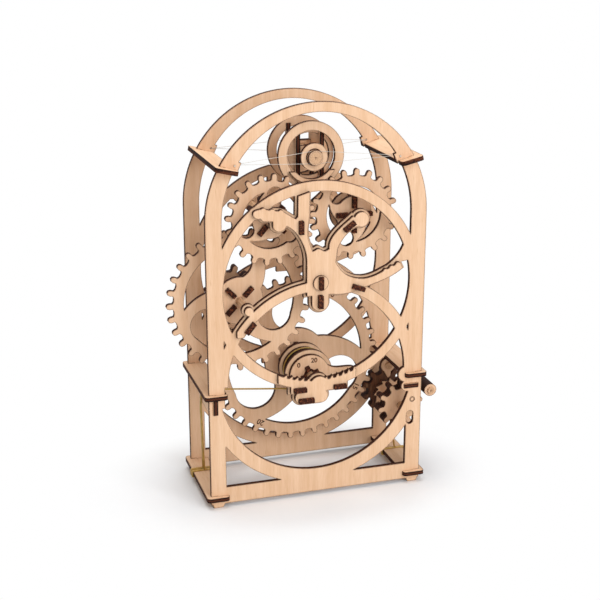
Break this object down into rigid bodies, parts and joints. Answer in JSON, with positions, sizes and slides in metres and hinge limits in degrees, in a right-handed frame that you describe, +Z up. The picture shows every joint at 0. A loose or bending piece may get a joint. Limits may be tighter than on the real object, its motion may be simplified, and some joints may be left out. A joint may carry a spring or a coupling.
{
  "type": "mechanical timer model",
  "caption": "Plywood mechanical timer: two arched frames hold a band-driven gear train, two meshed escape wheels, a thread-hung balance with pallets, and a winding crank with click.",
  "frame": {"origin": "on the ground below the middle of the overall box", "axes": "+X to the right seen from the front, +Y from the front to the back, +Z up; every shaft lies along Y"},
  "size_m": [0.1958, 0.084, 0.28],
  "materials": {
    "birch_plywood": "laser-cut, bare",
    "beech_dowel": "bare",
    "latex_rubber": "matt",
    "nylon_thread": "plain"
  },
  "bodies": {
    "frame": {"front_frame": "birch_plywood", "back_frame": "birch_plywood", "front_bridge": "birch_plywood", "main_bridge": "birch_plywood", "bridge_keys": "birch_plywood", "stem_washer": "birch_plywood", "top_bracket_left": "birch_plywood", "top_bracket_right": "birch_plywood", "mid_bracket_left": "birch_plywood", "mid_bracket_right": "birch_plywood", "base_plate_left": "birch_plywood", "base_plate_right": "birch_plywood", "band_guide_left": "birch_plywood", "band_shelf_right": "birch_plywood", "click_pin": "beech_dowel", "suspension_thread_front": "nylon_thread", "suspension_thread_back": "nylon_thread", "drive_band": "latex_rubber", "winding_band": "latex_rubber"},
    "main_arbor": {"main_axle": "beech_dowel", "main_wheel": "birch_plywood", "main_keys": "birch_plywood", "drum_core": "birch_plywood", "drum_flange_front": "birch_plywood", "drum_flange_back": "birch_plywood", "dial_pointer": "birch_plywood", "dial_keys": "birch_plywood"},
    "second_arbor": {"second_axle": "beech_dowel", "second_wheel": "birch_plywood", "second_pinion": "birch_plywood", "second_keys": "birch_plywood"},
    "left_escape_arbor": {"left_escape_axle": "beech_dowel", "left_escape_wheel": "birch_plywood", "left_escape_pinion": "birch_plywood", "left_escape_keys": "birch_plywood"},
    "right_escape_arbor": {"right_escape_axle": "beech_dowel", "right_escape_wheel": "birch_plywood", "right_escape_collar": "birch_plywood", "right_escape_keys": "birch_plywood"},
    "balance": {"balance_staff": "beech_dowel", "balance_cap_front": "birch_plywood", "balance_cap_back": "birch_plywood", "balance_ring_front": "birch_plywood", "balance_ring_inner": "birch_plywood", "balance_ring_back": "birch_plywood", "balance_plate_left": "birch_plywood", "balance_plate_right": "birch_plywood", "balance_block_front": "birch_plywood", "balance_block_back": "birch_plywood", "balance_hub_disc": "birch_plywood", "pallet_anchor": "birch_plywood"},
    "winding_arbor": {"winding_shaft": "beech_dowel", "winding_pinion": "birch_plywood", "winding_stack": "birch_plywood", "ratchet_wheel": "birch_plywood", "crank_arm": "birch_plywood", "handle_pin": "beech_dowel"},
    "crank_handle": {"crank_handle": "beech_dowel"},
    "click": {"click": "birch_plywood"}
  },
  "joints": [
    {"name": "main_turn", "type": "hinge", "parent": "frame", "child": "main_arbor", "pos_m": [0.00265, -0.0015, 0.0845], "axis": [0, 1, 0], "continuous": true},
    {"name": "second_turn", "type": "hinge", "parent": "frame", "child": "second_arbor", "pos_m": [-0.04679, -0.0015, 0.14255], "axis": [0, 1, 0], "continuous": true},
    {"name": "left_escape_turn", "type": "hinge", "parent": "frame", "child": "left_escape_arbor", "pos_m": [-0.02685, -0.0015, 0.2002], "axis": [0, 1, 0], "continuous": true},
    {"name": "right_escape_turn", "type": "hinge", "parent": "frame", "child": "right_escape_arbor", "pos_m": [0.03215, -0.0015, 0.2002], "axis": [0, 1, 0], "continuous": true},
    {"name": "winding_turn", "type": "hinge", "parent": "frame", "child": "winding_arbor", "pos_m": [0.07215, -0.0015, 0.05313], "axis": [0, 1, 0], "continuous": true},
    {"name": "balance_swing", "type": "hinge", "parent": "frame", "child": "balance", "pos_m": [0.00265, -0.0015, 0.2418], "axis": [0, 1, 0], "range_deg": [-25, 25]},
    {"name": "handle_spin", "type": "hinge", "parent": "winding_arbor", "child": "crank_handle", "pos_m": [0.0932, -0.0015, 0.06423], "axis": [0, 1, 0], "continuous": true},
    {"name": "click_swing", "type": "hinge", "parent": "frame", "child": "click", "pos_m": [0.07075, -0.0015, 0.07603], "axis": [0, 1, 0], "range_deg": [-2, 20]}
  ],
  "couplings": [
    {"joint": "second_turn", "follows": "main_turn", "ratio": -4},
    {"joint": "left_escape_turn", "follows": "main_turn", "ratio": 16},
    {"joint": "right_escape_turn", "follows": "main_turn", "ratio": -16},
    {"joint": "winding_turn", "follows": "main_turn", "ratio": -4}
  ]
}
